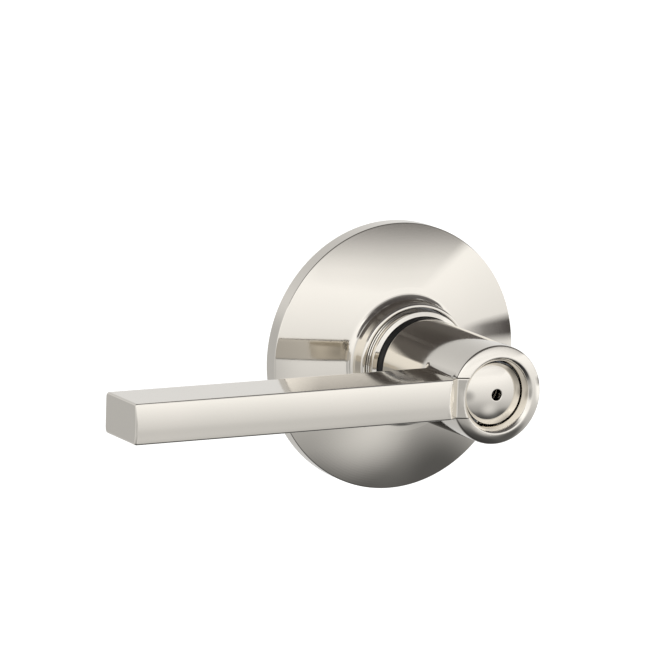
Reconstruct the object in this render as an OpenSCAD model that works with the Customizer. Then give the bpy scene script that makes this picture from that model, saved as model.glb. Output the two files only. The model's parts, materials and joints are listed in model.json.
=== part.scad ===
// Privacy door lever, outside half: rose, lever, return spring and emergency release.
// Millimetres. The origin is the centre of the rose's back face, on the spindle axis.
// -Y points out of the door towards the hand, -X runs along the lever, +Z is up.
// Modules are drawn with the spindle axis along z and stood on the door by on_axis().

/* [Rose] */
// Outside diameter of the rose
rose_d = 66.7; // [66:0.1:76]
// Height of the rose's straight rim above the door
rim_h = 4.4; // [3.8:0.1:5.2]
// Sheet thickness of the rose
rose_t = 1; // [0.8:0.1:1.1]
// Outside diameter of the raised hub in the middle of the rose
rose_hub_d = 30.2; // [29.8:0.1:31]
// Height of the raised hub above the door
rose_hub_h = 15.3; // [14.8:0.1:16]

/* [Collar] */
// Outside diameter of the collar inside the rose's hub
collar_d = 26.9; // [26.7:0.1:27]
// Height of the collar's front edge above the door
collar_h = 17.9; // [17.2:0.1:18.6]

/* [Neck] */
// Diameter of the lever's round neck at its back end
neck_d = 24.4; // [24.2:0.1:24.6]
// Diameter of the neck at the ring
ring_d = 24.1; // [23.7:0.1:24.3]
// Height at which the neck starts
neck_h = 20.4; // [20.2:0.1:21]
// Height of the outer edge of the ring at the neck's front
ring_edge_h = 55; // [54.8:0.1:55.6]
// Diameter of the ring's crest, where the recess for the cap starts
crest_d = 18.4; // [17.4:0.2:19]
// Diameter of the hole in the cap
pinhole_d = 2.7; // [2:0.1:3]

/* [Arm] */
// Length of the arm from the spindle axis to its tip
arm_l = 97; // [80:1:120]
// Height of the arm's bar
arm_h = 9.8; // [8:0.2:12]
// Height of the arm's back face above the door
arm_back_h = 41; // [38:0.5:44]
// Rise of the crowned front face between its two long edges
arm_crown = 0.65; // [0.3:0.05:1]

/* [Works] */
// Outside diameter of the tube that the lever sits on
tube_d = 15.9; // [15.7:0.1:16]
// Turn of the lever each way from level, in degrees
turn_limit = 45; // [30:5:45]
// Wire diameter of the return spring
spring_wire = 1.8; // [1.4:0.1:1.8]
// Travel of the release rod
release_travel = 6; // [4:0.5:6]

/* [Door] */
// Distance between the two through bolts
bolt_pitch = 38.1; // [38:0.1:40]
// Depth of the threaded posts behind the door's face
post_depth = 19; // [16:0.5:19]
// Depth of the drive spindle behind the door's face
spindle_depth = 42; // [40:1:60]

/* [Hidden] */
$fn = 96;

// How far a cutter runs past the faces it cuts
over = 1;
// Radial gap of a shaft that turns or slides in its hole
run_gap = 0.08;
// Radial gap between fixed neighbours
loose_gap = 0.1;

// Rose: a straight rim, a shallow cone, and a raised hub that a fillet joins to the cone
rose_r = rose_d / 2;
rose_edge_chamfer = 0.25;
rose_curl_r = 31.8;
rose_curl_h = 0.3;
rose_hub_r = rose_hub_d / 2;
cone_top_h = 9.9;
cone_slope = (cone_top_h - rim_h) / (rose_r - rose_edge_chamfer - rose_hub_r);
cone_tilt = atan(cone_slope);
fillet_r = 2;
hub_round_r = 0.75;
curve_steps = 8;

// Collar: a threaded sleeve with a bevelled front edge, in an open groove inside the rose's hub
collar_r = collar_d / 2;
collar_wall = 1.15;
collar_back_h = 4.3;
collar_bevel = 0.9;
hub_groove = 2.6;

// Mounting plate and the threaded hub staked into it
plate_r = rose_r - rose_t - 0.35;
plate_back_h = 0.4;
plate_t = 1.5;
hub_r = 15.5;
hub_floor_h = 4;
hub_side_h = 8;
hub_hole_r = tube_d / 2 + 0.45;
thread_pitch = 1;
thread_depth = 0.25;
thread_turns = 12;

// Spring cage: a cup behind the plate, with three screw bosses inside
cage_r = 24.4;
cage_wall = 1.4;
cage_back = -12;
cage_floor = cage_back + cage_wall;
boss_r = 2.6;
boss_pitch_r = 20;
lug_w = 3.3;
lug_inner_y = 17.4;
lug_boss_y = 21;
lug_boss_r = 2.4;
screw_r = 1.2;
screw_head_r = 2.1;
screw_head_h = 1.2;

// Threaded posts for the through bolts
post_r = 3.5;
post_neck_r = 2.5;
post_thread_r = 1.75;
post_blind = -2;

// Cam that the tube turns: a tang between the spring's legs and an ear between two stops
cam_back = -2.2;
cam_t = 1.6;
cam_r = 13.4;
cam_seat = 12.5;
tang_w = 3;
tang_y = [14, 16.5];
tang_end = -10.2;
ear_w = 4;
ear_tip_r = 19.4;
stop_gap_a = 1;
stop_a = turn_limit + asin((ear_w / 2 + boss_r) / boss_pitch_r) + stop_gap_a;
boss_places = [
    boss_pitch_r * [sin(stop_a), -cos(stop_a)],
    boss_pitch_r * [-sin(stop_a), -cos(stop_a)]
];
screw_places = concat(boss_places, [[0, lug_boss_y]]);

// Return spring: whole turns between two parallel legs that point up
coil_r = 11.5;
coil_turns = 3;
coil_z = [-9.5, -3.5];
leg_x = 3;
leg_end_y = 19.2;
wire_sides = 8;
coil_steps = 32;
bend_steps = 6;

// Tube that carries the lever, and what holds it in the cage
tube_r = tube_d / 2;
tube_bore_r = 6.6;
tube_back = -16;
tube_front = 42;
back_slot_w = 2.5;
back_slot_end = -0.4;
front_slot_w = 3;
front_slot_start = 29.6;
key_gap = 0.05;
key_inner_r = 7;
ring_groove_r = 7.4;
ring_groove_z = [-13.7, -12.85];
ring_z = [-13.6, -12.95];
ring_outer_r = 9.8;
ring_gap_w = 3;
washer_outer_r = 11.6;
rear_washer_z = [-12.8, -12.1];
front_washer_z = [4.1, 5];

// Plug, pins and half-round drive spindle at the tube's back end
plug_r = tube_bore_r - loose_gap;
plug_z = [tube_back, -12.5];
pin_r = 0.7;
pin_z = -14.9;
pin_span = [5.2, 7.85];
channel_r = 4.8;
channel_wall = 1.4;
flange_z = [-12.4, -10.9];
rod_pass_r = 1.7;

// Lever: shank in the bushing, tapered neck, ring, recess and bores
shank_r = 10.85;
shank_back = 5.2;
neck_r = neck_d / 2;
ring_r = ring_d / 2;
bushing_r = collar_r - collar_wall - loose_gap;
bushing_front_h = neck_h - 0.25;
ring_crest_h = 56.2;
ring_bulge = 0.12;
ring_steps = 6;
crest_r = crest_d / 2;
crest_land = 0.15;
cavity_r = 7.9;
cavity_front_h = 53.4;
web_z = [42.5, 46.5];
web_hole_r = 3.5;
lever_bore_r = tube_r + key_gap;
recess_slope = (crest_r - cavity_r) / (ring_crest_h - cavity_front_h);

// Arm: a flat-topped bar whose crowned front ends in a slope beside the ring
arm_edge_h = 56.84;
arm_flat_h = 56.8;
crown_r = (pow(arm_h / 2, 2) + pow(arm_crown, 2)) / (2 * arm_crown);
crown_end_x = -11.15;
crown_slope = 2.54;

// Cap with the emergency hole, and its snap ring
cap_r = 7.55;
cap_skirt_r = 7.2;
cap_inner_r = 5.9;
cap_skirt_z = [48, 52.7];
cap_rim_h = 53.3;
cap_top_h = 55.3;
cap_shell = 1.3;
cap_steps = 10;
cap_dome_r = (pow(cap_r, 2) + pow(cap_top_h - cap_rim_h, 2)) / (2 * (cap_top_h - cap_rim_h));
clip_groove_z = [49.6, 50.6];
clip_z = [49.7, 50.5];
clip_inner_r = 6.75;
clip_outer_r = 8.4;
clip_gap_w = 5;

// Release rod, its guide and its spring
rod_r = 1.2;
rod_back = release_travel - spindle_depth;
rod_head_r = 3;
rod_head_z = [43, 44.5];
guide_z = [20, 23];
rod_clip_r = 3;
rod_clip_z = [19, 19.8];
release_wire = 0.5;
release_coil_r = 1.78;
release_turns = 12;
release_steps = 16;
release_sides = 6;
release_spring_z = [guide_z[1] + 0.3, rod_head_z[0] - 0.3];

// Catch that holds the lever on the tube, and its leaf spring
catch_h = 33;
catch_r = 1.9;
catch_tip_y = -9.6;
catch_tip_chamfer = 0.4;
catch_plate_y = [-5.8, -4.8];
catch_plate_w = 4.8;
catch_plate_l = 7;
catch_hole_r = 2.1;
leaf_t = 0.3;
leaf_w = 3.2;
leaf_foot_y = -6.3;
leaf_arm_y = catch_plate_y[1] + 0.05;
leaf_z = [23.3, 26, 29.2, 36.4];

// Colours
nickel = [0.83, 0.81, 0.77];
zinc = [0.66, 0.67, 0.68];
steel = [0.55, 0.56, 0.58];
spring_steel = [0.36, 0.37, 0.4];
brass = [0.78, 0.63, 0.33];
nylon_black = [0.08, 0.08, 0.09];
nylon_white = [0.9, 0.9, 0.86];

// Stands a shape drawn along z on the door, so that its +z points along -Y
module on_axis() {
    rotate([90, 0, 0])
        children();
}

// A ring round z between two heights
module band(r_out, r_in, z) {
    difference() {
        translate([0, 0, z[0]])
            cylinder(r = r_out, h = z[1] - z[0]);
        bore(r_in, z);
    }
}

// A cutter for a round hole along z through everything between two heights
module bore(r, z) {
    translate([0, 0, z[0] - over])
        cylinder(r = r, h = z[1] - z[0] + 2 * over);
}

// A block centred on x = 0, given by its width and its y and z spans
module block(w, y, z) {
    translate([-w / 2, y[0], z[0]])
        cube([w, y[1] - y[0], z[1] - z[0]]);
}

// Unit vector
function unit(v) = v / norm(v);

// Direction of a path at point i
function heading(path, i) =
    unit(path[min(i + 1, len(path) - 1)] - path[max(i - 1, 0)]);

// One ring of points round path point i
function wire_ring(path, i, r, sides) =
    let (
        t = heading(path, i),
        u = unit(cross([0, 0, 1], t)),
        v = cross(t, u)
    )
    [for (k = [0:sides - 1]) path[i] + r * (cos(360 * k / sides) * u + sin(360 * k / sides) * v)];

// Round wire along a path that never points straight along z
module wire(path, r, sides) {
    rings = len(path);
    points = [for (i = [0:rings - 1]) each wire_ring(path, i, r, sides)];
    walls = [
        for (i = [0:rings - 2])
            for (k = [0:sides - 1])
                let (a = i * sides + k, b = i * sides + (k + 1) % sides)
                each [[a, b, b + sides], [a, b + sides, a + sides]]
    ];
    back_end = [for (k = [sides - 1:-1:0]) k];
    front_end = [for (k = [0:sides - 1]) (rings - 1) * sides + k];
    polyhedron(points, concat(walls, [back_end, front_end]), convexity = 10);
}

// Centre line of the return spring: leg up, bend, whole turns, bend, leg up
function coil_point(a, z) = [coil_r * cos(a), coil_r * sin(a), z];
function bend_point(side, a, z) = [side * leg_x * sin(a), coil_r + leg_x * (1 - cos(a)), z];
function return_spring_path() = concat(
    [[leg_x, leg_end_y, coil_z[0]]],
    [for (i = [bend_steps:-1:1]) bend_point(1, 90 * i / bend_steps, coil_z[0])],
    [
        for (i = [0:coil_turns * coil_steps])
            let (f = i / (coil_turns * coil_steps))
            coil_point(90 + 360 * coil_turns * f, coil_z[0] + (coil_z[1] - coil_z[0]) * f)
    ],
    [for (i = [1:bend_steps]) bend_point(-1, 90 * i / bend_steps, coil_z[1])],
    [[-leg_x, leg_end_y, coil_z[1]]]
);

module rose() {
    // Centre of the fillet between the cone and the hub's wall
    fillet_x = rose_hub_r + fillet_r;
    fillet_z = cone_top_h - fillet_r * cone_slope + fillet_r / cos(cone_tilt);
    fillet = [
        for (i = [0:curve_steps])
            let (a = 270 - cone_tilt - (90 - cone_tilt) * i / curve_steps)
            [fillet_x + fillet_r * cos(a), fillet_z + fillet_r * sin(a)]
    ];
    hub_edge = [
        for (i = [0:curve_steps])
            let (a = 90 * i / curve_steps)
            [
                rose_hub_r + hub_round_r * (cos(a) - 1),
                rose_hub_h + hub_round_r * (sin(a) - 1)
            ]
    ];
    inner_rim_h = rim_h - rose_t / cos(cone_tilt) + rose_t * cone_slope;
    color(nickel)
        on_axis()
            rotate_extrude()
                polygon(concat(
                    [
                        [rose_curl_r, 0],
                        [rose_r, 0],
                        [rose_r, rim_h - rose_edge_chamfer],
                        [rose_r - rose_edge_chamfer, rim_h]
                    ],
                    fillet,
                    hub_edge,
                    [
                        [rose_hub_r - rose_t, rose_hub_h],
                        [rose_hub_r - rose_t, cone_top_h + rose_t * cone_slope - rose_t / cos(cone_tilt)],
                        [rose_r - rose_t, inner_rim_h],
                        [rose_r - rose_t, rose_curl_h],
                        [rose_curl_r, rose_curl_h]
                    ]
                ));
}

module rose_collar() {
    color(nickel)
        on_axis()
            difference() {
                rotate_extrude()
                    polygon([
                        [collar_r - collar_wall, collar_back_h],
                        [collar_r, collar_back_h],
                        [collar_r, collar_h - collar_bevel],
                        [collar_r - collar_wall, collar_h]
                    ]);
                for (i = [0:thread_turns - 1]) {
                    z = collar_back_h + thread_pitch * (i + 0.25);
                    band(collar_r + over, collar_r - thread_depth, [z, z + thread_pitch / 2]);
                }
            }
}

module neck_bushing() {
    color(nylon_black)
        on_axis()
            band(bushing_r, shank_r + run_gap, [collar_back_h, bushing_front_h]);
}

module mounting_plate() {
    plate_z = [plate_back_h, plate_back_h + plate_t];
    color(zinc)
        on_axis()
            difference() {
                band(plate_r, hub_r + key_gap, plate_z);
                for (x = [-bolt_pitch / 2, bolt_pitch / 2])
                    translate([x, 0, 0])
                        bore(post_neck_r + key_gap, plate_z);
                for (place = screw_places)
                    translate(place)
                        bore(screw_r + key_gap, plate_z);
            }
}

module mount_hub() {
    sleeve_h = rose_hub_h - hub_groove;
    sleeve_r = rose_hub_r - rose_t - loose_gap;
    color(zinc)
        on_axis()
            rotate_extrude()
                polygon([
                    [hub_hole_r, plate_back_h],
                    [hub_r, plate_back_h],
                    [hub_r, hub_side_h],
                    [sleeve_r, hub_side_h + (hub_r - sleeve_r) * cone_slope],
                    [sleeve_r, sleeve_h],
                    [collar_r + key_gap, sleeve_h],
                    [collar_r + key_gap, hub_floor_h],
                    [hub_hole_r, hub_floor_h]
                ]);
}

module spring_cage() {
    inside_z = [cage_floor, plate_back_h];
    color(steel)
        on_axis()
            difference() {
                union() {
                    difference() {
                        band(cage_r, tube_r + run_gap, [cage_back, plate_back_h]);
                        translate([0, 0, cage_floor])
                            cylinder(r = cage_r - cage_wall, h = plate_back_h - cage_floor + over);
                    }
                    for (place = boss_places)
                        translate([place.x, place.y, cage_back])
                            cylinder(r = boss_r, h = plate_back_h - cage_back);
                    translate([0, lug_boss_y, cage_back])
                        cylinder(r = lug_boss_r, h = plate_back_h - cage_back);
                    block(lug_w, [lug_inner_y, lug_boss_y], inside_z);
                }
                for (place = screw_places)
                    translate(place)
                        bore(screw_r + key_gap, [cage_back, plate_back_h]);
                for (x = [-bolt_pitch / 2, bolt_pitch / 2])
                    translate([x, 0, 0])
                        bore(post_r + loose_gap, [cage_back, cage_floor]);
            }
}

module cage_screws() {
    color(steel)
        on_axis()
            for (place = screw_places)
                translate(place)
                    difference() {
                        union() {
                            translate([0, 0, cage_back])
                                cylinder(r = screw_r, h = plate_back_h + plate_t - cage_back);
                            translate([0, 0, cage_back - screw_head_h])
                                cylinder(r = screw_head_r, h = screw_head_h);
                        }
                        // Cross recess in the head
                        for (a = [0, 90])
                            rotate([0, 0, a])
                                translate([-screw_r, -screw_r / 4, cage_back - screw_head_h - over])
                                    cube([2 * screw_r, screw_r / 2, over + screw_head_h / 2]);
                    }
}

module threaded_posts() {
    color(steel)
        on_axis()
            for (x = [-bolt_pitch / 2, bolt_pitch / 2])
                translate([x, 0, 0])
                    difference() {
                        union() {
                            translate([0, 0, -post_depth])
                                cylinder(r = post_r, h = post_depth + plate_back_h);
                            translate([0, 0, plate_back_h])
                                cylinder(r = post_neck_r, h = plate_t);
                        }
                        translate([0, 0, -post_depth - over])
                            cylinder(r = post_thread_r, h = post_depth + over + post_blind);
                    }
}

module return_spring() {
    color(spring_steel)
        on_axis()
            wire(return_spring_path(), spring_wire / 2, wire_sides);
}

module front_washer() {
    color(nylon_white)
        on_axis()
            band(shank_r - loose_gap, tube_r + loose_gap, front_washer_z);
}

module rear_washer() {
    color(spring_steel)
        on_axis()
            band(washer_outer_r, tube_r + loose_gap, rear_washer_z);
}

// Outer solid of the shank, the neck and the ring's bulged front
module neck_blank() {
    ring_face = [
        for (i = [0:ring_steps])
            let (f = i / ring_steps)
            [
                ring_r + (crest_r + crest_land - ring_r) * f,
                ring_edge_h + (ring_crest_h - ring_edge_h) * f + 4 * ring_bulge * f * (1 - f)
            ]
    ];
    rotate_extrude()
        polygon(concat(
            [[0, shank_back], [shank_r, shank_back], [shank_r, neck_h], [neck_r, neck_h]],
            ring_face,
            [[0, ring_crest_h]]
        ));
}

// Bar of the arm: its crowned front slopes down to a flat beside the ring
module arm_blank() {
    top_h = arm_edge_h + arm_crown;
    rise = top_h + over - arm_flat_h;
    intersection() {
        translate([-arm_l - over, 0, top_h - crown_r])
            rotate([0, 90, 0])
                cylinder(r = crown_r, h = arm_l + 2 * over);
        translate([0, arm_h / 2, 0])
            rotate([90, 0, 0])
                linear_extrude(arm_h)
                    polygon([
                        [-arm_l, arm_back_h],
                        [0, arm_back_h],
                        [0, arm_flat_h],
                        [crown_end_x, arm_flat_h],
                        [crown_end_x - crown_slope * rise, arm_flat_h + rise],
                        [-arm_l, arm_flat_h + rise]
                    ]);
    }
}

// Everything cut out of the lever round its own axis
module lever_bores() {
    mouth_h = ring_crest_h + 2 * over;
    rotate_extrude()
        polygon([
            [0, web_z[1]],
            [cavity_r, web_z[1]],
            [cavity_r, clip_groove_z[0]],
            [clip_outer_r + loose_gap, clip_groove_z[0]],
            [clip_outer_r + loose_gap, clip_groove_z[1]],
            [cavity_r, clip_groove_z[1]],
            [cavity_r, cavity_front_h],
            [cavity_r + recess_slope * (mouth_h - cavity_front_h), mouth_h],
            [0, mouth_h]
        ]);
    bore(web_hole_r, web_z);
    translate([0, 0, shank_back - over])
        cylinder(r = lever_bore_r, h = web_z[0] - shank_back + over);
    translate([0, 0, catch_h])
        rotate([90, 0, 0])
            cylinder(r = catch_hole_r, h = neck_r + over);
}

module lever() {
    color(nickel)
        on_axis() {
            difference() {
                union() {
                    neck_blank();
                    arm_blank();
                }
                lever_bores();
            }
            // Key that fits the tube's front slot
            block(
                front_slot_w - 2 * key_gap,
                [key_inner_r, lever_bore_r + over],
                [front_slot_start + loose_gap, web_z[0] + over]
            );
        }
}

module pinhole_cap() {
    dome = [
        for (i = [0:cap_steps])
            let (r = pinhole_d / 2 + (cap_r - pinhole_d / 2) * i / cap_steps)
            [r, cap_top_h - cap_dome_r + sqrt(pow(cap_dome_r, 2) - pow(r, 2))]
    ];
    color(nickel)
        on_axis()
            rotate_extrude()
                polygon(concat(
                    dome,
                    [
                        [cap_r, cap_skirt_z[1]],
                        [cap_skirt_r, cap_skirt_z[1]],
                        [cap_skirt_r, clip_groove_z[1]],
                        [clip_inner_r - key_gap, clip_groove_z[1]],
                        [clip_inner_r - key_gap, clip_groove_z[0]],
                        [cap_skirt_r, clip_groove_z[0]],
                        [cap_skirt_r, cap_skirt_z[0]],
                        [cap_inner_r, cap_skirt_z[0]],
                        [cap_inner_r, cap_rim_h - cap_shell],
                        [pinhole_d / 2, cap_top_h - cap_shell]
                    ]
                ));
}

module cap_clip() {
    color(spring_steel)
        on_axis()
            difference() {
                band(clip_outer_r, clip_inner_r, clip_z);
                block(clip_gap_w, [-clip_outer_r - over, 0], [clip_z[0] - over, clip_z[1] + over]);
            }
}

module spindle_tube() {
    color(zinc)
        on_axis()
            difference() {
                band(tube_r, tube_bore_r, [tube_back, tube_front]);
                block(back_slot_w, [0, tube_r + over], [tube_back - over, back_slot_end]);
                block(front_slot_w, [0, tube_r + over], [front_slot_start, tube_front + over]);
                band(tube_r + over, ring_groove_r, ring_groove_z);
                translate([0, 0, catch_h])
                    rotate([90, 0, 0])
                        cylinder(r = catch_r + run_gap, h = tube_r + over);
                translate([-tube_r - over, 0, pin_z])
                    rotate([0, 90, 0])
                        cylinder(r = pin_r + key_gap, h = 2 * (tube_r + over));
            }
}

module spring_cam() {
    cam_z = [cam_back, cam_back + cam_t];
    color(zinc)
        on_axis() {
            band(cam_r, tube_r + key_gap, cam_z);
            block(tang_w, [cam_seat, tang_y[1]], cam_z);
            block(tang_w, tang_y, [tang_end, cam_z[1]]);
            block(ear_w, [-ear_tip_r, -cam_seat], cam_z);
            // Key that fits the tube's back slot
            block(back_slot_w - 2 * key_gap, [key_inner_r, tube_r + over], cam_z);
        }
}

module retaining_ring() {
    color(spring_steel)
        on_axis()
            difference() {
                band(ring_outer_r, ring_groove_r + key_gap, ring_z);
                block(ring_gap_w, [-ring_outer_r - over, 0], [ring_z[0] - over, ring_z[1] + over]);
            }
}

module spindle_plug() {
    color(zinc)
        on_axis()
            difference() {
                translate([0, 0, plug_z[0]])
                    cylinder(r = plug_r, h = plug_z[1] - plug_z[0]);
                bore(rod_pass_r, plug_z);
                // Half-round way for the drive spindle
                intersection() {
                    bore(channel_r + loose_gap, plug_z);
                    block(2 * plug_r, [-loose_gap, plug_r], [plug_z[0] - over, plug_z[1] + over]);
                }
                for (side = [0, 180])
                    rotate([0, 0, side])
                        translate([pin_span[0] - loose_gap, 0, pin_z])
                            rotate([0, 90, 0])
                                cylinder(r = pin_r + key_gap, h = plug_r);
            }
}

module plug_pins() {
    color(steel)
        on_axis()
            for (side = [0, 180])
                rotate([0, 0, side])
                    translate([pin_span[0], 0, pin_z])
                        rotate([0, 90, 0])
                            cylinder(r = pin_r, h = pin_span[1] - pin_span[0]);
}

module drive_spindle() {
    color(steel)
        on_axis() {
            difference() {
                union() {
                    translate([0, 0, flange_z[0]])
                        cylinder(r = plug_r, h = flange_z[1] - flange_z[0]);
                    block(back_slot_w - 2 * key_gap, [0, tube_r - loose_gap], flange_z);
                }
                bore(rod_pass_r, flange_z);
            }
            translate([0, 0, -spindle_depth])
                rotate_extrude(angle = 180)
                    translate([channel_r - channel_wall, 0])
                        square([channel_wall, spindle_depth + flange_z[0]]);
        }
}

module release_guide() {
    color(nylon_white)
        on_axis()
            band(plug_r, rod_r + run_gap, guide_z);
}

module release_spring() {
    steps = release_turns * release_steps;
    span = release_spring_z[1] - release_spring_z[0];
    path = [
        for (i = [0:steps])
            let (a = 360 * i / release_steps)
            [release_coil_r * cos(a), release_coil_r * sin(a), release_spring_z[0] + span * i / steps]
    ];
    color(spring_steel)
        on_axis()
            wire(path, release_wire / 2, release_sides);
}

module catch_spring() {
    color(spring_steel)
        on_axis()
            translate([-leaf_w / 2, 0, 0])
                rotate([90, 0, 90])
                    linear_extrude(leaf_w)
                        polygon([
                            [leaf_foot_y, leaf_z[0]],
                            [leaf_foot_y, leaf_z[1]],
                            [leaf_arm_y, leaf_z[2]],
                            [leaf_arm_y, leaf_z[3]],
                            [leaf_arm_y + leaf_t, leaf_z[3]],
                            [leaf_arm_y + leaf_t, leaf_z[2] - leaf_t],
                            [leaf_foot_y + leaf_t, leaf_z[1] - leaf_t],
                            [leaf_foot_y + leaf_t, leaf_z[0]]
                        ]);
}

module lever_catch() {
    color(brass)
        on_axis() {
            block(catch_plate_w, catch_plate_y, [catch_h - catch_plate_l / 2, catch_h + catch_plate_l / 2]);
            translate([0, catch_plate_y[0] + over / 2, catch_h])
                rotate([90, 0, 0]) {
                    nose_l = catch_plate_y[0] + over / 2 - catch_tip_y;
                    cylinder(r = catch_r, h = nose_l - catch_tip_chamfer);
                    translate([0, 0, nose_l - catch_tip_chamfer])
                        cylinder(r1 = catch_r, r2 = catch_r - catch_tip_chamfer, h = catch_tip_chamfer);
                }
        }
}

module release_rod() {
    color(steel)
        on_axis() {
            translate([0, 0, rod_back])
                cylinder(r = rod_r, h = rod_head_z[0] - rod_back);
            translate([0, 0, rod_head_z[0]])
                cylinder(r = rod_head_r, h = rod_head_z[1] - rod_head_z[0]);
        }
}

module rod_clip() {
    color(spring_steel)
        on_axis()
            difference() {
                band(rod_clip_r, rod_r + key_gap, rod_clip_z);
                block(rod_r, [-rod_clip_r - over, 0], [rod_clip_z[0] - over, rod_clip_z[1] + over]);
            }
}

rose();
rose_collar();
neck_bushing();
mounting_plate();
mount_hub();
spring_cage();
cage_screws();
threaded_posts();
return_spring();
front_washer();
rear_washer();
lever();
pinhole_cap();
cap_clip();
spindle_tube();
spring_cam();
retaining_ring();
spindle_plug();
plug_pins();
drive_spindle();
release_guide();
release_spring();
catch_spring();
lever_catch();
release_rod();
rod_clip();
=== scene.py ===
"""Looks of the door lever handle: skins for the seen pieces, two springs, finishes, studio, camera.

Shapes are worked out in millimetres in the door's own directions: x as in the frame, u up (+Z) and
o out of the door (-Y). Lathe profiles are lists of (radius, o).
"""
import json
import math

import bpy
import numpy as np
from mathutils import Matrix, Vector


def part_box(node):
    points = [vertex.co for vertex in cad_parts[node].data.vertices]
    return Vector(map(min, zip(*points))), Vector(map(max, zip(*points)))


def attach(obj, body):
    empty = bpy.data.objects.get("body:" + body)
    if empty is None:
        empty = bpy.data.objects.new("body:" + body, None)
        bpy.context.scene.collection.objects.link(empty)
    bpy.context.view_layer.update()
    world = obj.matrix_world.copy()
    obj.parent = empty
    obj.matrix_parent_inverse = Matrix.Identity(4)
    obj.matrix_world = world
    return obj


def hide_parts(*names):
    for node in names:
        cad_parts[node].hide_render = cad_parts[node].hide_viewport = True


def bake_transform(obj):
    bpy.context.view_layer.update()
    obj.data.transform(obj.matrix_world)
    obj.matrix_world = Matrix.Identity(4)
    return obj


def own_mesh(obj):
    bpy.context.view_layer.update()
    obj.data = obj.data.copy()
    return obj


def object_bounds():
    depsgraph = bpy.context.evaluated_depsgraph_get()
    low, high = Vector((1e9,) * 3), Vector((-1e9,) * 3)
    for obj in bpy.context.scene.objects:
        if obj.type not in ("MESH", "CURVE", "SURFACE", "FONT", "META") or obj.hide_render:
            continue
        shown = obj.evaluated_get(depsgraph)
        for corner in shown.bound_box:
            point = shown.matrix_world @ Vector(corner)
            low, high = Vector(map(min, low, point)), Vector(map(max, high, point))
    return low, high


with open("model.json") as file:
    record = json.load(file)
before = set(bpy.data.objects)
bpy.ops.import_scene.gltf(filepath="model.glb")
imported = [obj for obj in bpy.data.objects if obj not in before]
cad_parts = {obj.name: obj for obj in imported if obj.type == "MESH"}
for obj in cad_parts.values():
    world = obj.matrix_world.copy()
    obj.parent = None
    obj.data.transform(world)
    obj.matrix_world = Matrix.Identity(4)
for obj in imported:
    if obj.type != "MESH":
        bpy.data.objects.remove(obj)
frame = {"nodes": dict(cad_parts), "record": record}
cad_low, cad_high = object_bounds()

MM = 0.001


def box_mm(node):
    """Lowest and highest corner of a CAD node as (x, u, o), in millimetres."""
    low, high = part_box(node)
    return (low.x / MM, low.z / MM, -high.y / MM), (high.x / MM, high.z / MM, -low.y / MM)


# ---------------------------------------------------------------- camera

def make_camera():
    """Long lens, from the left of the lever and a little above it."""
    azimuth = math.radians(-28.48)
    elevation = math.radians(10.84)
    roll = math.radians(1.76)
    distance = 1.3604
    aim_right = -0.01381
    aim_up = 0.00561
    back = Vector((
        math.sin(azimuth) * math.cos(elevation),
        -math.cos(azimuth) * math.cos(elevation),
        math.sin(elevation),
    ))
    level = Vector((math.cos(azimuth), math.sin(azimuth), 0))
    upright = back.cross(level)
    right = math.cos(roll) * level + math.sin(roll) * upright
    up = back.cross(right)
    data = bpy.data.cameras.new("camera")
    data.lens = 300
    data.sensor_width = 36
    camera = bpy.data.objects.new("camera", data)
    bpy.context.scene.collection.objects.link(camera)
    turn = Matrix((right, up, back)).transposed().to_4x4()
    place = back * distance + right * aim_right + up * aim_up
    camera.matrix_world = Matrix.Translation(place) @ turn
    bpy.context.scene.camera = camera


# ---------------------------------------------------------------- mesh helpers

def mesh_object(name, points, faces, normals=None):
    """Object from (x, u, o) points in millimetres, smooth shaded."""
    points = np.asarray(points, float)
    place = np.column_stack([points[:, 0], -points[:, 2], points[:, 1]]) * MM
    mesh = bpy.data.meshes.new(name)
    mesh.from_pydata(place.tolist(), [], [list(map(int, f)) for f in faces])
    mesh.polygons.foreach_set("use_smooth", [True] * len(mesh.polygons))
    if normals is not None:
        turned = np.column_stack([normals[:, 0], -normals[:, 2], normals[:, 1]])
        mesh.normals_split_custom_set_from_vertices(turned.tolist())
    piece = bpy.data.objects.new(name, mesh)
    bpy.context.scene.collection.objects.link(piece)
    return piece


def rounded(corners, steps=5):
    """Closed profile with its corners rounded: each corner is (radius from the axis, o, rounding)."""
    points = []
    count = len(corners)
    for i, (r, o, rounding) in enumerate(corners):
        corner = np.array([r, o], float)
        if rounding == 0:
            points.append(corner)
            continue
        before = np.array(corners[i - 1][:2], float) - corner
        after = np.array(corners[(i + 1) % count][:2], float) - corner
        a = before / np.linalg.norm(before)
        b = after / np.linalg.norm(after)
        half = math.acos(float(np.clip(a @ b, -1, 1))) / 2
        reach = rounding / math.tan(half)
        middle = corner + (a + b) / np.linalg.norm(a + b) * rounding / math.sin(half)
        start = corner + a * reach - middle
        end = corner + b * reach - middle
        arc = math.pi - 2 * half
        for k in range(steps + 1):
            t = k / steps
            w0 = math.sin((1 - t) * arc) / math.sin(arc)
            w1 = math.sin(t * arc) / math.sin(arc)
            points.append(middle + w0 * start + w1 * end)
    return points


def supported(profile, margin=0.06):
    """Adds points near both ends of each long straight, so that its shading stays straight."""
    points = []
    count = len(profile)
    for i, p in enumerate(profile):
        q = profile[(i + 1) % count]
        length = np.linalg.norm(q - p)
        points.append(p)
        if length > 5 * margin:
            points.append(p + (q - p) * margin / length)
            points.append(q - (q - p) * margin / length)
    return points


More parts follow.
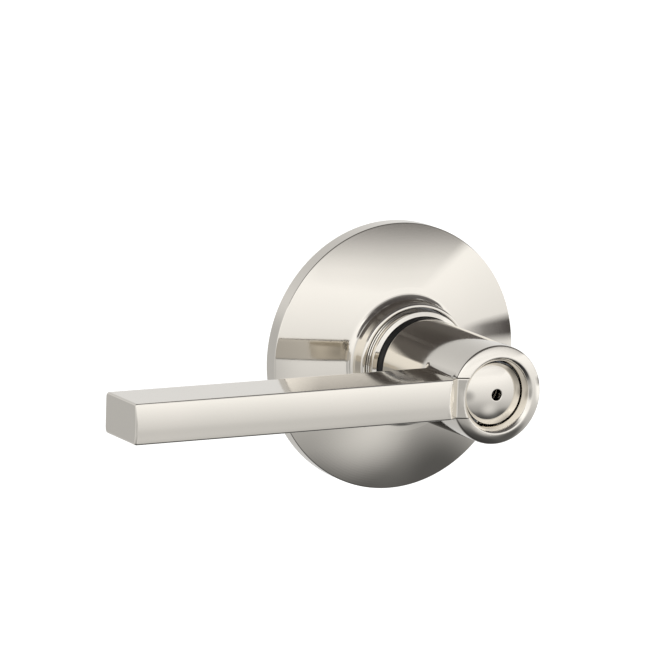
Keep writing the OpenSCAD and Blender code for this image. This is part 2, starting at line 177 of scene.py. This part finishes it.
def lathe(name, profile, sides=192, sharp=38):
    """Turns a closed profile round the spindle axis."""
    profile = supported([np.array(p, float) for p in profile])
    area = sum(
        p[0] * q[1] - q[0] * p[1] for p, q in zip(profile, profile[1:] + profile[:1])
    )
    if area < 0:
        profile.reverse()
    rings = len(profile)
    points = []
    for s in range(sides):
        c, d = math.cos(2 * math.pi * s / sides), math.sin(2 * math.pi * s / sides)
        points += [(r * c, r * d, o) for r, o in profile]
    faces = []
    for s in range(sides):
        t = (s + 1) % sides
        for k in range(rings):
            m = (k + 1) % rings
            faces.append((s * rings + k, s * rings + m, t * rings + m, t * rings + k))
    piece = mesh_object(name, points, faces)
    piece.data.set_sharp_from_angle(angle=math.radians(sharp))
    return piece


# ---------------------------------------------------------------- rose, collar, bushing, cap

def rose_profile():
    """Domed plate with a straight rim, a raised open hub and a turned-in back edge."""
    _, (rose_r, _, hub_h) = box_mm("rose")
    rim_h = 4.4
    sheet = 1.0
    lip_r = 31.8
    lip = 0.3
    hub_r = 15.1
    hub_inner = hub_r - sheet
    rim_inner = rose_r - sheet
    dome_r = 128.0
    dome_centre = -12.8
    dome_z = rim_h - math.sqrt(dome_r ** 2 - (rose_r - dome_centre) ** 2)

    def dome(r, inset=0.0):
        return dome_z + math.sqrt((dome_r - inset) ** 2 - (r - dome_centre) ** 2)

    outer = [(r, dome(r), 0) for r in np.linspace(rose_r - 0.5, hub_r + 3.0, 24)]
    inner = [(r, dome(r, sheet), 0) for r in np.linspace(hub_r + 1.5, rim_inner - 0.4, 12)]
    corners = [
        (lip_r, 0, 0.1), (rose_r, 0, 0.3), (rose_r, dome(rose_r), 0.3),
        *outer,
        (hub_r, dome(hub_r), 2.0), (hub_r, hub_h, 0.75), (hub_inner, hub_h, 0.15),
        (hub_inner, dome(hub_inner, sheet), 1.0),
        *inner,
        (rim_inner, dome(rim_inner, sheet), 0), (rim_inner, lip, 0), (lip_r, lip, 0.1),
    ]
    return rounded(corners, 8)


def make_rose():
    return lathe("rose_skin", rose_profile(), sides=256)


def make_collar():
    """Sleeve with thread grooves and a bevelled, softly broken front edge."""
    (_, _, back), (outer, _, front) = box_mm("rose_collar")
    inner = outer - 1.15
    bevel = 0.4
    pitch = 1.0
    turns = 12
    groove_r = outer - 0.25
    groove_w = 0.5
    flank = 0.15
    grooves = []
    for i in reversed(range(turns)):
        o = back + pitch * (i + 0.25)
        grooves += [(outer, o + groove_w, 0.05), (groove_r, o + groove_w - flank, 0.05),
                    (groove_r, o + flank, 0.05), (outer, o, 0.05)]
    corners = [
        (inner, back, 0.1), (inner, front, 0.08), (outer, front - bevel, 0.12), *grooves,
        (outer, back, 0.1),
    ]
    return lathe("rose_collar_skin", rounded(corners))


def make_bushing():
    """Plain black ring between the collar and the neck."""
    (_, _, back), (outer, _, front) = box_mm("neck_bushing")
    inner = 10.93
    corners = [(inner, back, 0.15), (inner, front, 0.2), (outer, front, 0.3), (outer, back, 0.3)]
    return lathe("neck_bushing_skin", rounded(corners))


def make_cap():
    """Domed cap with the emergency hole, a broken rim and the groove for its snap ring."""
    (_, _, back), (outer, _, front) = box_mm("pinhole_cap")
    hole = 1.35
    shell = 1.3
    top = front + 0.03
    rim_o = 53.3
    rise = top - rim_o
    dome_r = (outer ** 2 + rise ** 2) / (2 * rise)
    skirt_r = 7.2
    skirt_o = 52.7
    inner = 5.9
    groove_r = 6.7
    groove_back = 49.6
    groove_front = 50.6

    def dome(r):
        return top - dome_r + math.sqrt(dome_r ** 2 - r ** 2)

    face = [(r, dome(r), 0) for r in np.linspace(hole + 0.35, outer - 0.75, 20)]
    corners = [
        (hole, dome(hole), 0.22), *face, (outer, dome(outer), 0.35), (outer, skirt_o, 0.1),
        (skirt_r, skirt_o, 0.05), (skirt_r, groove_front, 0.05), (groove_r, groove_front, 0),
        (groove_r, groove_back, 0), (skirt_r, groove_back, 0.05), (skirt_r, back, 0.15),
        (inner, back, 0.15), (inner, rim_o - shell, 0.5), (hole, front - shell, 0.1),
    ]
    return lathe("pinhole_cap_skin", rounded(corners, 6))


# ---------------------------------------------------------------- lever

def soft_max(a, b, k):
    """Greater of two distances, rounded where they are within k of each other."""
    return np.maximum(a, b) + np.maximum(k - np.abs(a - b), 0) ** 2 / (4 * k)


def soft_min(a, b, k):
    """Lesser of two distances, rounded in the same way."""
    return -soft_max(-a, -b, k)


class Lever:
    """Distance field of the lever: shank, neck and ring turned in one, with the crowned arm blended in."""

    def __init__(self):
        (tip, _, self.back), (self.neck_r, _, self.front) = box_mm("lever")
        # Arm: its crowned front slopes down to a ledge beside the ring
        self.arm_l = -tip
        self.half_h = 4.9
        self.arm_back = 41.0
        self.crown = 0.65
        self.crown_r = (self.half_h ** 2 + self.crown ** 2) / (2 * self.crown)
        self.ledge = 56.35
        self.ledge_slope = 0.45
        self.slope_foot = (-11.1, 55.55)
        self.slope_run = 1.6
        self.ledge_edge = 0.12
        self.front_edge = 0.42
        self.back_edge = 1.1
        self.tip_edge = 0.7
        # Shank, neck and ring
        self.shank_r = 10.85
        self.neck_back = 20.4
        self.neck_edge = 0.3
        self.ring_r = 12.05
        self.ring_edge = 55.0
        self.ring_round = 0.4
        self.bulge = 0.12
        self.crest_r = 9.3
        self.crest = 56.2
        # Fillet between arm and neck, which shrinks towards the ring's front
        self.fillet_front = 0.15
        self.fillet_back = 1.2
        self.fillet_run = 1.5
        # Recess for the cap, with the snap ring's groove
        self.cavity_r = 7.9
        self.cavity_back = 46.5
        self.cavity_front = 53.4
        self.flare = 0.8
        self.mouth_edge = 0.25
        self.groove_r = 8.5
        self.groove_middle = 50.1
        self.groove_half = 0.5
        # Bore for the tube with its key, hole in the web behind the cap, and catch hole
        self.bore_r = 8.0
        self.bore_front = 42.5
        self.key_half = 1.45
        self.key_inner = 7.0
        self.key_back = 29.7
        self.web_hole_r = 3.5
        self.web_middle = 44.5
        self.web_half = 3
        self.catch_r = 2.1
        self.catch_o = 33.0

    def turned(self, r, o):
        """Shank, tapered neck and the ring's bulged front."""
        share = np.clip((o - self.neck_back) / (self.ring_edge - self.neck_back), 0, 1)
        side = r - (self.neck_r + (self.ring_r - self.neck_r) * share)
        fall = (self.crest - self.ring_edge) / (self.ring_r - self.crest_r)
        across = np.clip((self.ring_r - r) / (self.ring_r - self.crest_r), 0, 1)
        swell = 4 * self.bulge * across * (1 - across)
        face = (o - self.crest - swell + fall * (r - self.crest_r)) / math.hypot(1, fall)
        neck = soft_max(side, face, self.ring_round)
        neck = soft_max(neck, self.neck_back - o, self.neck_edge)
        shank = np.maximum(np.maximum(r - self.shank_r, self.back - o), o - self.neck_back - 2)
        return np.minimum(neck, shank)

    def arm(self, x, u, o):
        """Crowned bar, cut down to the ledge beside the ring."""
        crown = o - (self.front - self.crown_r + np.sqrt(np.maximum(self.crown_r ** 2 - u ** 2, 1)))
        ledge = o - self.ledge - self.ledge_slope * (x + self.crest_r)
        ledge = ledge / math.hypot(1, self.ledge_slope)
        foot_x, foot_o = self.slope_foot
        slope = ((o - foot_o) * self.slope_run + x - foot_x) / math.hypot(1, self.slope_run)
        front = soft_max(crown, soft_min(ledge, slope, 0.1), self.ledge_edge)
        sides = np.abs(u) - self.half_h
        bar = soft_max(front, sides, self.front_edge)
        bar = soft_max(bar, soft_max(self.arm_back - o, sides, self.back_edge), 0.05)
        bar = soft_max(bar, -self.arm_l - x, self.tip_edge)
        return np.maximum(bar, x)

    def recess(self, r, o):
        """Cone for the cap, flared at its mouth, with the snap ring's groove."""
        lean_r = self.crest_r - self.flare - self.cavity_r
        lean = lean_r / (self.crest - self.flare - self.cavity_front)
        cone = (r - self.cavity_r - lean * (o - self.cavity_front)) / math.hypot(1, lean)
        flare = (r - self.crest_r - o + self.crest) / math.sqrt(2)
        wall = np.where(o > self.cavity_front, soft_min(cone, flare, 0.2), r - self.cavity_r)
        groove = np.maximum(r - self.groove_r, np.abs(o - self.groove_middle) - self.groove_half)
        return np.minimum(np.maximum(wall, self.cavity_back - o), groove)

    def bores(self, x, u, r, o):
        """Tube's bore with its key, the web's hole and the catch hole."""
        bore = np.maximum(r - self.bore_r, o - self.bore_front)
        key = np.maximum(np.maximum(np.abs(x) - self.key_half, self.key_inner - u), self.key_back - o)
        web = np.maximum(r - self.web_hole_r, np.abs(o - self.web_middle) - self.web_half)
        catch = np.maximum(np.hypot(x, o - self.catch_o) - self.catch_r, u)
        return np.minimum.reduce([np.maximum(bore, -key), web, catch])

    def field(self, x, u, o):
        """Distance to the lever's surface, negative inside."""
        r = np.hypot(x, u)
        share = np.clip((self.ring_edge - o) / self.fillet_run, 0, 1)
        fillet = self.fillet_front + (self.fillet_back - self.fillet_front) * share
        solid = soft_min(self.turned(r, o), self.arm(x, u, o), fillet)
        hollow = np.minimum(self.recess(r, o), self.bores(x, u, r, o))
        return soft_max(solid, -hollow, self.mouth_edge)


def spaced(*stops):
    """Grid lines from (place, step) stops: each step holds up to the next place."""
    lines = [stops[0][0]]
    for (start, step), (end, _) in zip(stops, stops[1:]):
        count = max(1, round((end - start) / step))
        lines += list(np.linspace(start, end, count + 1)[1:])
    return np.array(lines)


def gradient(field, points, reach=0.01):
    """Slope of a field at each point, from differences."""
    slopes = []
    for axis in range(3):
        step = np.zeros(3)
        step[axis] = reach
        ahead, behind = points + step, points - step
        slopes.append((field(*ahead.T) - field(*behind.T)) / (2 * reach))
    return np.column_stack(slopes)


def settle(field, points):
    """Moves points onto the field's surface and gives them with their normals."""
    for _ in range(3):
        slope = gradient(field, points)
        size = np.maximum((slope ** 2).sum(1), 0.2)
        shift = field(*points.T) / size
        points = points - slope * np.clip(shift, -0.2, 0.2)[:, None]
    slope = gradient(field, points)
    return points, slope / np.linalg.norm(slope, axis=1)[:, None]


def crossed(value, lines, axis):
    """Grid edges along an axis that cross the surface: their index, crossing point and start's side."""
    low = [slice(None)] * 3
    high = [slice(None)] * 3
    low[axis], high[axis] = slice(0, -1), slice(1, None)
    a, b = value[tuple(low)], value[tuple(high)]
    index = np.argwhere((a < 0) != (b < 0))
    inner = [k for k in range(3) if k != axis]
    keep = np.all([(index[:, k] > 0) & (index[:, k] < value.shape[k] - 1) for k in inner], axis=0)
    index = index[keep]
    start = a[tuple(index.T)]
    share = start / (start - b[tuple(index.T)])
    place = np.column_stack([lines[k][index[:, k]] for k in range(3)])
    place[:, axis] += share * np.diff(lines[axis])[index[:, axis]]
    return index, place, start < 0


def skin(field, lines):
    """Quad skin of a distance field on a grid of lines: one point per crossed cell, on the surface."""
    value = field(*np.meshgrid(*lines, indexing="ij"))
    cells = tuple(n - 1 for n in value.shape)
    total = np.zeros(cells + (3,))
    hits = np.zeros(cells)
    all_quads = []
    for axis in range(3):
        index, place, starts_inside = crossed(value, lines, axis)
        first, second = [k for k in range(3) if k != axis]
        around = []
        for a, b in ((-1, -1), (0, -1), (0, 0), (-1, 0)):
            cell = index.copy()
            cell[:, first] += a
            cell[:, second] += b
            np.add.at(total, tuple(cell.T), place)
            np.add.at(hits, tuple(cell.T), 1)
            around.append(np.ravel_multi_index(cell.T, cells))
        quads = np.column_stack(around)
        flip = starts_inside == (axis == 1)
        quads[flip] = quads[flip][:, ::-1]
        all_quads.append(quads)
    used = np.flatnonzero(hits.ravel())
    points = total.reshape(-1, 3)[used] / hits.ravel()[used, None]
    number = np.full(hits.size, -1)
    number[used] = np.arange(len(used))
    faces = number[np.concatenate(all_quads)]
    points, normals = settle(field, points)
    return points, faces, normals


def make_lever():
    """Skin of the lever's field, on a grid that is fine at the edges and coarse along straights."""
    lever = Lever()
    x_lines = spaced((-lever.arm_l - 0.5, 0.2), (-lever.arm_l + 1.1, 0.6), (-lever.arm_l + 3, 3),
                     (-18, 1), (-14, 0.5), (-12, 0.25), (-9.5, 0.33), (13, 1))
    h = lever.half_h
    u_lines = spaced((-13, 0.33), (-h - 1, 0.25), (-h - 0.25, 0.125), (-h + 0.5, 0.33),
                     (h - 0.5, 0.125), (h + 0.25, 0.25), (h + 1, 0.33), (13, 1))
    o_lines = spaced((4.7, 0.25), (5.7, 1.2), (20, 0.15), (21, 1), (30.5, 0.5), (35.5, 1), (39, 0.5),
                     (40.5, 0.2), (42.9, 0.8), (46, 0.25), (47, 0.65), (49.2, 0.25), (51, 0.5),
                     (53, 0.15), (lever.front + 0.4, 1))
    points, faces, normals = skin(lever.field, (x_lines, u_lines, o_lines))
    return mesh_object("lever_skin", points, faces, normals)


# ---------------------------------------------------------------- springs

def sweep(name, path, section, up):
    """Carries a closed section, given as (side, top) pairs, along a path that never runs along up."""
    path = np.asarray(path, float)
    along = np.gradient(path, axis=0)
    along /= np.linalg.norm(along, axis=1)[:, None]
    side = np.cross(along, up)
    side /= np.linalg.norm(side, axis=1)[:, None]
    top = np.cross(along, side)
    rings = [p + a * s + b * t for p, s, t in zip(path, side, top) for a, b in section]
    count = len(section)
    faces = [list(range(count))[::-1]]
    for i in range(len(path) - 1):
        for k in range(count):
            m = (k + 1) % count
            faces.append((i * count + k, i * count + m, (i + 1) * count + m, (i + 1) * count + k))
    faces.append([(len(path) - 1) * count + k for k in range(count)])
    piece = mesh_object(name, rings, faces)
    piece.data.set_sharp_from_angle(angle=math.radians(50))
    return piece


def make_release_spring():
    """Coil round the release rod, carried with the lever set."""
    low, high = box_mm("release_spring")
    wire_r = 0.25
    turns = 12
    steps = 24
    sides = 10
    coil_r = high[0] - wire_r
    section = [
        (wire_r * math.cos(2 * math.pi * k / sides), wire_r * math.sin(2 * math.pi * k / sides))
        for k in range(sides)
    ]
    path = []
    for i in range(turns * steps + 1):
        angle = 2 * math.pi * i / steps
        o = low[2] + wire_r + (high[2] - low[2] - 2 * wire_r) * i / (turns * steps)
        path.append((coil_r * math.cos(angle), coil_r * math.sin(angle), o))
    spring = sweep("release_spring_skin", path, section, (0, 0, 1))
    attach(spring, "lever_set")
    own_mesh(spring)
    return spring


def make_catch_spring():
    """Leaf behind the catch: its foot lies on the tube and a bend lifts its arm."""
    low, high = box_mm("catch_spring")
    thick = 0.3
    bend = (26.0, 29.2)
    edge = 0.08
    steps = 48
    half_w = high[0]
    half_t = thick / 2
    section = [
        (half_w, -half_t + edge), (half_w, half_t - edge),
        (half_w - edge, half_t), (-half_w + edge, half_t),
        (-half_w, half_t - edge), (-half_w, -half_t + edge),
        (-half_w + edge, -half_t), (half_w - edge, -half_t),
    ]
    path = []
    for i in range(steps + 1):
        o = low[2] + (high[2] - low[2]) * i / steps
        t = min(max((o - bend[0]) / (bend[1] - bend[0]), 0), 1)
        u = low[1] + (high[1] - low[1] - thick) * t * t * (3 - 2 * t) + half_t
        path.append((0, u, o))
    spring = sweep("catch_spring_skin", path, section, (0, 1, 0))
    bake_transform(spring)
    return spring


# ---------------------------------------------------------------- materials

def new_material(name):
    """Material with its nodes, its links and its own shader."""
    material = bpy.data.materials.new(name)
    material.use_nodes = True
    tree = material.node_tree
    return material, tree.nodes, tree.links, tree.nodes["Principled BSDF"]


def noise(nodes, links, scale, detail=4, stretch=(1, 1, 1)):
    """Noise in object space, in cells per metre, stretched along an axis by a small scale there."""
    place = nodes.new("ShaderNodeTexCoord")
    mapping = nodes.new("ShaderNodeMapping")
    mapping.inputs["Scale"].default_value = stretch
    texture = nodes.new("ShaderNodeTexNoise")
    texture.inputs["Scale"].default_value = scale
    texture.inputs["Detail"].default_value = detail
    links.new(place.outputs["Object"], mapping.inputs["Vector"])
    links.new(mapping.outputs["Vector"], texture.inputs["Vector"])
    return texture.outputs["Fac"]


def ramp(nodes, links, factor, stops):
    """Colour ramp from (position, colour) stops."""
    node = nodes.new("ShaderNodeValToRGB")
    while len(node.color_ramp.elements) < len(stops):
        node.color_ramp.elements.new(0.5)
    for element, (position, colour) in zip(node.color_ramp.elements, stops):
        element.position = position
        element.color = (*colour, 1)
    links.new(factor, node.inputs["Fac"])
    return node.outputs["Color"]


def span(nodes, links, factor, low, high):
    """Maps a 0 to 1 factor to a range."""
    node = nodes.new("ShaderNodeMapRange")
    node.inputs["To Min"].default_value = low
    node.inputs["To Max"].default_value = high
    links.new(factor, node.inputs["Value"])
    return node.outputs["Result"]


def bump(nodes, links, shader, height, strength, distance):
    """Fine relief on a shader."""
    node = nodes.new("ShaderNodeBump")
    node.inputs["Strength"].default_value = strength
    node.inputs["Distance"].default_value = distance
    links.new(height, node.inputs["Height"])
    links.new(node.outputs["Normal"], shader.inputs["Normal"])


def math_node(nodes, links, kind, *values):
    """Result of a maths node on numbers and sockets."""
    node = nodes.new("ShaderNodeMath")
    node.operation = kind
    for socket, value in zip(node.inputs, values):
        if isinstance(value, (int, float)):
            socket.default_value = value
        else:
            links.new(value, socket)
    return node.outputs[0]


def metal(name, dark, light, rough, grain=900, stretch=(1, 1, 1), relief=0.1, depth=0.00002):
    """Metal whose colour, gloss and fine relief vary a little over the surface."""
    material, nodes, links, shader = new_material(name)
    shader.inputs["Metallic"].default_value = 1
    patches = noise(nodes, links, grain / 12, 3)
    fine = noise(nodes, links, grain, 5, stretch)
    links.new(ramp(nodes, links, patches, [(0.3, dark), (0.7, light)]), shader.inputs["Base Color"])
    links.new(span(nodes, links, fine, *rough), shader.inputs["Roughness"])
    bump(nodes, links, shader, fine, relief, depth)
    return material


def plastic(name, dark, light, rough, gloss):
    """Moulded plastic with faint patches and a fine grain."""
    material, nodes, links, shader = new_material(name)
    shader.inputs["Specular IOR Level"].default_value = gloss
    patches = noise(nodes, links, 120, 3)
    fine = noise(nodes, links, 5000, 4)
    links.new(ramp(nodes, links, patches, [(0.3, dark), (0.7, light)]), shader.inputs["Base Color"])
    links.new(span(nodes, links, fine, *rough), shader.inputs["Roughness"])
    bump(nodes, links, shader, fine, 0.15, 0.00003)
    return material


def make_materials():
    """Every finish, by the name of its slot in the record."""
    return {
        "polished_nickel": metal("polished_nickel", (0.815, 0.78, 0.715), (0.835, 0.795, 0.73),
                                 (0.05, 0.08), 700, relief=0.02, depth=0.000005),
        "zinc_plated_steel": metal("zinc_plated_steel", (0.55, 0.57, 0.6), (0.68, 0.69, 0.7),
                                   (0.22, 0.4), 1500, (1, 1, 8), 0.2),
        "cast_zinc": metal("cast_zinc", (0.42, 0.42, 0.43), (0.52, 0.52, 0.53),
                           (0.4, 0.6), 2500, relief=0.4),
        "spring_steel": metal("spring_steel", (0.2, 0.21, 0.23), (0.3, 0.31, 0.33),
                              (0.2, 0.35), 2000),
        "brass": metal("brass", (0.66, 0.47, 0.19), (0.76, 0.58, 0.28),
                       (0.15, 0.3), 1500, (1, 6, 1)),
        "black_nylon": plastic("black_nylon", (0.006, 0.006, 0.006), (0.012, 0.012, 0.012),
                               (0.35, 0.5), 0.2),
        "white_nylon": plastic("white_nylon", (0.72, 0.7, 0.64), (0.8, 0.78, 0.72),
                               (0.35, 0.5), 0.5),
    }


# ---------------------------------------------------------------- studio

class Studio:
    """Light that the world gives by direction: turn and level are angles in degrees from the front."""

    def __init__(self, tree):
        self.nodes, self.links = tree.nodes, tree.links
        self.nodes.clear()
        degrees = 180 / math.pi
        place = self.nodes.new("ShaderNodeTexCoord")
        split = self.nodes.new("ShaderNodeSeparateXYZ")
        self.links.new(place.outputs["Generated"], split.inputs["Vector"])
        across, self.depth, height = split.outputs
        towards = self.calc("MULTIPLY", self.depth, -1)
        self.turn = self.calc("MULTIPLY", self.calc("ARCTAN2", across, towards), degrees)
        self.level = self.calc("MULTIPLY", self.calc("ARCSINE", height), degrees)

    def calc(self, kind, *values):
        return math_node(self.nodes, self.links, kind, *values)

    def smooth(self, value, low, high):
        """Smooth step from 0 at low to 1 at high."""
        node = self.nodes.new("ShaderNodeMapRange")
        node.interpolation_type = "SMOOTHSTEP"
        node.inputs["From Min"].default_value = low
        node.inputs["From Max"].default_value = high
        self.links.new(value, node.inputs["Value"])
        return node.outputs["Result"]

    def mix(self, factor, first, second):
        """Mix of two colours, each a socket or a value."""
        node = self.nodes.new("ShaderNodeMix")
        node.data_type = "RGBA"
        self.links.new(factor, node.inputs["Factor"])
        for socket, value in ((node.inputs[6], first), (node.inputs[7], second)):
            if isinstance(value, tuple):
                socket.default_value = (*value, 1)
            else:
                self.links.new(value, socket)
        return node.outputs[2]

    def by_level(self, stops):
        """Light by elevation, from (degrees, brightness) stops."""
        share = self.calc("DIVIDE", self.calc("ADD", self.level, 90), 180)
        return ramp(self.nodes, self.links, share, [((e + 90) / 180, shade(v)) for e, v in stops])

    def panel(self, base, turn_at, turn_half, level_at, level_half, soft, value):
        """Lays an oval panel of one brightness over the studio."""
        a = self.calc("DIVIDE", self.calc("SUBTRACT", self.turn, turn_at), turn_half)
        b = self.calc("DIVIDE", self.calc("SUBTRACT", self.level, level_at), level_half)
        squares = [self.calc("POWER", self.calc("ABSOLUTE", c), 2) for c in (a, b)]
        reach = self.calc("SQRT", self.calc("ADD", *squares))
        return self.mix(self.smooth(reach, 1 + soft, 1 - soft), base, shade(value))


def shade(brightness):
    """Grey of a panel whose picture in the nickel has this 0 to 255 brightness."""
    grey = 1.2 * (brightness / 255) ** 2.2
    return (grey, grey, grey)


def make_world():
    """Soft studio: light by elevation, dark low down and overhead, with six soft panels over it."""
    world = bpy.data.worlds.new("studio")
    bpy.context.scene.world = world
    world.use_nodes = True
    studio = Studio(world.node_tree)
    nodes, links = studio.nodes, studio.links
    front = studio.by_level([
        (-75, 45), (-60, 62), (-51, 74), (-45, 106), (-39, 150), (-32, 168), (-25, 186), (-17, 207),
        (-8, 220), (1, 232), (12, 247), (24, 250), (34, 266), (52, 250), (64, 150), (80, 80),
    ])
    behind = studio.by_level([(-60, 110), (-25, 195), (10, 214), (35, 185), (60, 145)])
    light = studio.mix(studio.smooth(studio.depth, -0.25, 0.35), front, behind)
    light = studio.panel(light, -25, 11, -13, 9, 0.7, 165)
    light = studio.panel(light, -62, 16, -11, 12, 0.6, 160)
    light = studio.panel(light, -150, 24, -8, 18, 0.5, 176)
    light = studio.panel(light, 22, 13, -33, 9, 0.9, 206)
    light = studio.panel(light, 62, 18, -42, 10, 0.6, 85)
    light = studio.panel(light, 88, 14, -8, 8, 0.4, 255)
    seen = nodes.new("ShaderNodeLightPath")
    colour = studio.mix(seen.outputs["Is Camera Ray"], light, (0.98, 0.98, 0.975))
    background = nodes.new("ShaderNodeBackground")
    output = nodes.new("ShaderNodeOutputWorld")
    links.new(colour, background.inputs["Color"])
    links.new(background.outputs["Background"], output.inputs["Surface"])


def make_sheet(name, low, high, place):
    """Flat square from a low to a high corner, put at a place."""
    corners = [(low, low, 0), (high, low, 0), (high, high, 0), (low, high, 0)]
    mesh = bpy.data.meshes.new(name)
    mesh.from_pydata(corners, [], [(0, 1, 2, 3)])
    sheet = bpy.data.objects.new(name, mesh)
    sheet.location = place
    bpy.context.scene.collection.objects.link(sheet)
    return sheet


def make_floor():
    """Plain pale floor, well below the handle."""
    drop = 0.25
    half = 6.0
    floor = make_sheet("floor", -half, half, (0, 0, cad_low.z - drop))
    material, nodes, links, shader = new_material("pale_floor")
    patches = noise(nodes, links, 3, 2)
    tone = ramp(nodes, links, patches, [(0.3, (0.86, 0.86, 0.855)), (0.7, (0.88, 0.88, 0.875))])
    links.new(tone, shader.inputs["Base Color"])
    shader.inputs["Roughness"].default_value = 0.9
    shader.inputs["Specular IOR Level"].default_value = 0.1
    shader.inputs["Emission Color"].default_value = (1, 1, 0.995, 1)
    shader.inputs["Emission Strength"].default_value = 0.55
    floor.data.materials.append(material)
    floor.visible_glossy = False


def flag_material(name, stops, soft_sides):
    """Dark sheet that paints shade into the nickel's reflections and glows faintly: it fades in with
    depth, from (share of its depth, cover) stops, and at its sides.
    """
    material, nodes, links, shader = new_material(name)
    place = nodes.new("ShaderNodeTexCoord")
    split = nodes.new("ShaderNodeSeparateXYZ")
    clear = nodes.new("ShaderNodeBsdfTransparent")
    blend = nodes.new("ShaderNodeMixShader")
    links.new(place.outputs["Object"], split.inputs["Vector"])
    from_side = math_node(nodes, links, "PINGPONG", split.outputs["X"], 0.5)
    fade = ramp(nodes, links, split.outputs["Y"], [(at, (share,) * 3) for at, share in stops])
    edge = ramp(nodes, links, from_side, [(0, (0,) * 3), (soft_sides, (1,) * 3)])
    links.new(math_node(nodes, links, "MULTIPLY", fade, edge), blend.inputs["Fac"])
    links.new(clear.outputs["BSDF"], blend.inputs[1])
    links.new(shader.outputs["BSDF"], blend.inputs[2])
    links.new(blend.outputs["Shader"], nodes["Material Output"].inputs["Surface"])
    shader.inputs["Base Color"].default_value = (0.03, 0.028, 0.028, 1)
    shader.inputs["Roughness"].default_value = 0.8
    shader.inputs["Specular IOR Level"].default_value = 0
    shader.inputs["Emission Color"].default_value = (0.05, 0.045, 0.045, 1)
    shader.inputs["Emission Strength"].default_value = 1
    return material


def make_flag(name, corner, size, tilt, stops, soft_sides):
    """Dark flag near the handle that only reflections show, for painted shade in the nickel's reflections:
    it starts at a corner, turned about Y.
    """
    flag = make_sheet(name, 0, 1, corner)
    flag.scale = (*size, 1)
    flag.rotation_euler = (0, math.radians(tilt), 0)
    flag.data.materials.append(flag_material(name, stops, soft_sides))
    flag.visible_camera = False
    flag.visible_diffuse = False
    flag.visible_shadow = False


# ---------------------------------------------------------------- assembly

make_camera()
materials = make_materials()

for entry in frame["record"]["subparts"]:
    node = frame["nodes"][entry["node"]]
    node.data.materials.clear()
    node.data.materials.append(materials[entry["material_slot"]])

SKINS = [
    (make_rose, "rose", "mount", "polished_nickel"),
    (make_collar, "rose_collar", "mount", "polished_nickel"),
    (make_bushing, "neck_bushing", "mount", "black_nylon"),
    (make_cap, "pinhole_cap", "lever_set", "polished_nickel"),
    (make_lever, "lever", "lever_set", "polished_nickel"),
]
for make, node, body, finish in SKINS:
    piece = make()
    piece.data.materials.append(materials[finish])
    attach(piece, body)
    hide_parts(node)

SPRINGS = [(make_release_spring, "release_spring"), (make_catch_spring, "catch_spring")]
for make, node in SPRINGS:
    piece = make()
    piece.data.materials.append(materials["spring_steel"])
    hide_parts(node)

make_world()
make_floor()
# Flags that put painted shade into the nickel's reflections.
make_flag("overhead_flag", (-0.06, -0.26, 0.08), (0.26, 0.27), 0,
          [(0, 0), (0.33, 0.15), (0.43, 0.28), (0.53, 0.48), (0.62, 0.72), (0.7, 0.95)], 0.15)
make_flag("left_flag", (-0.17, -0.09, 0.081), (0.155, 0.1), 0,
          [(0, 0), (0.3, 0.95)], 0.15)
make_flag("side_flag", (0.12, -0.09, 0.004), (0.018, 0.07), 90,
          [(0, 0), (0.45, 0.8), (0.8, 1)], 0.3)
bpy.context.scene.view_settings.view_transform = "Standard"
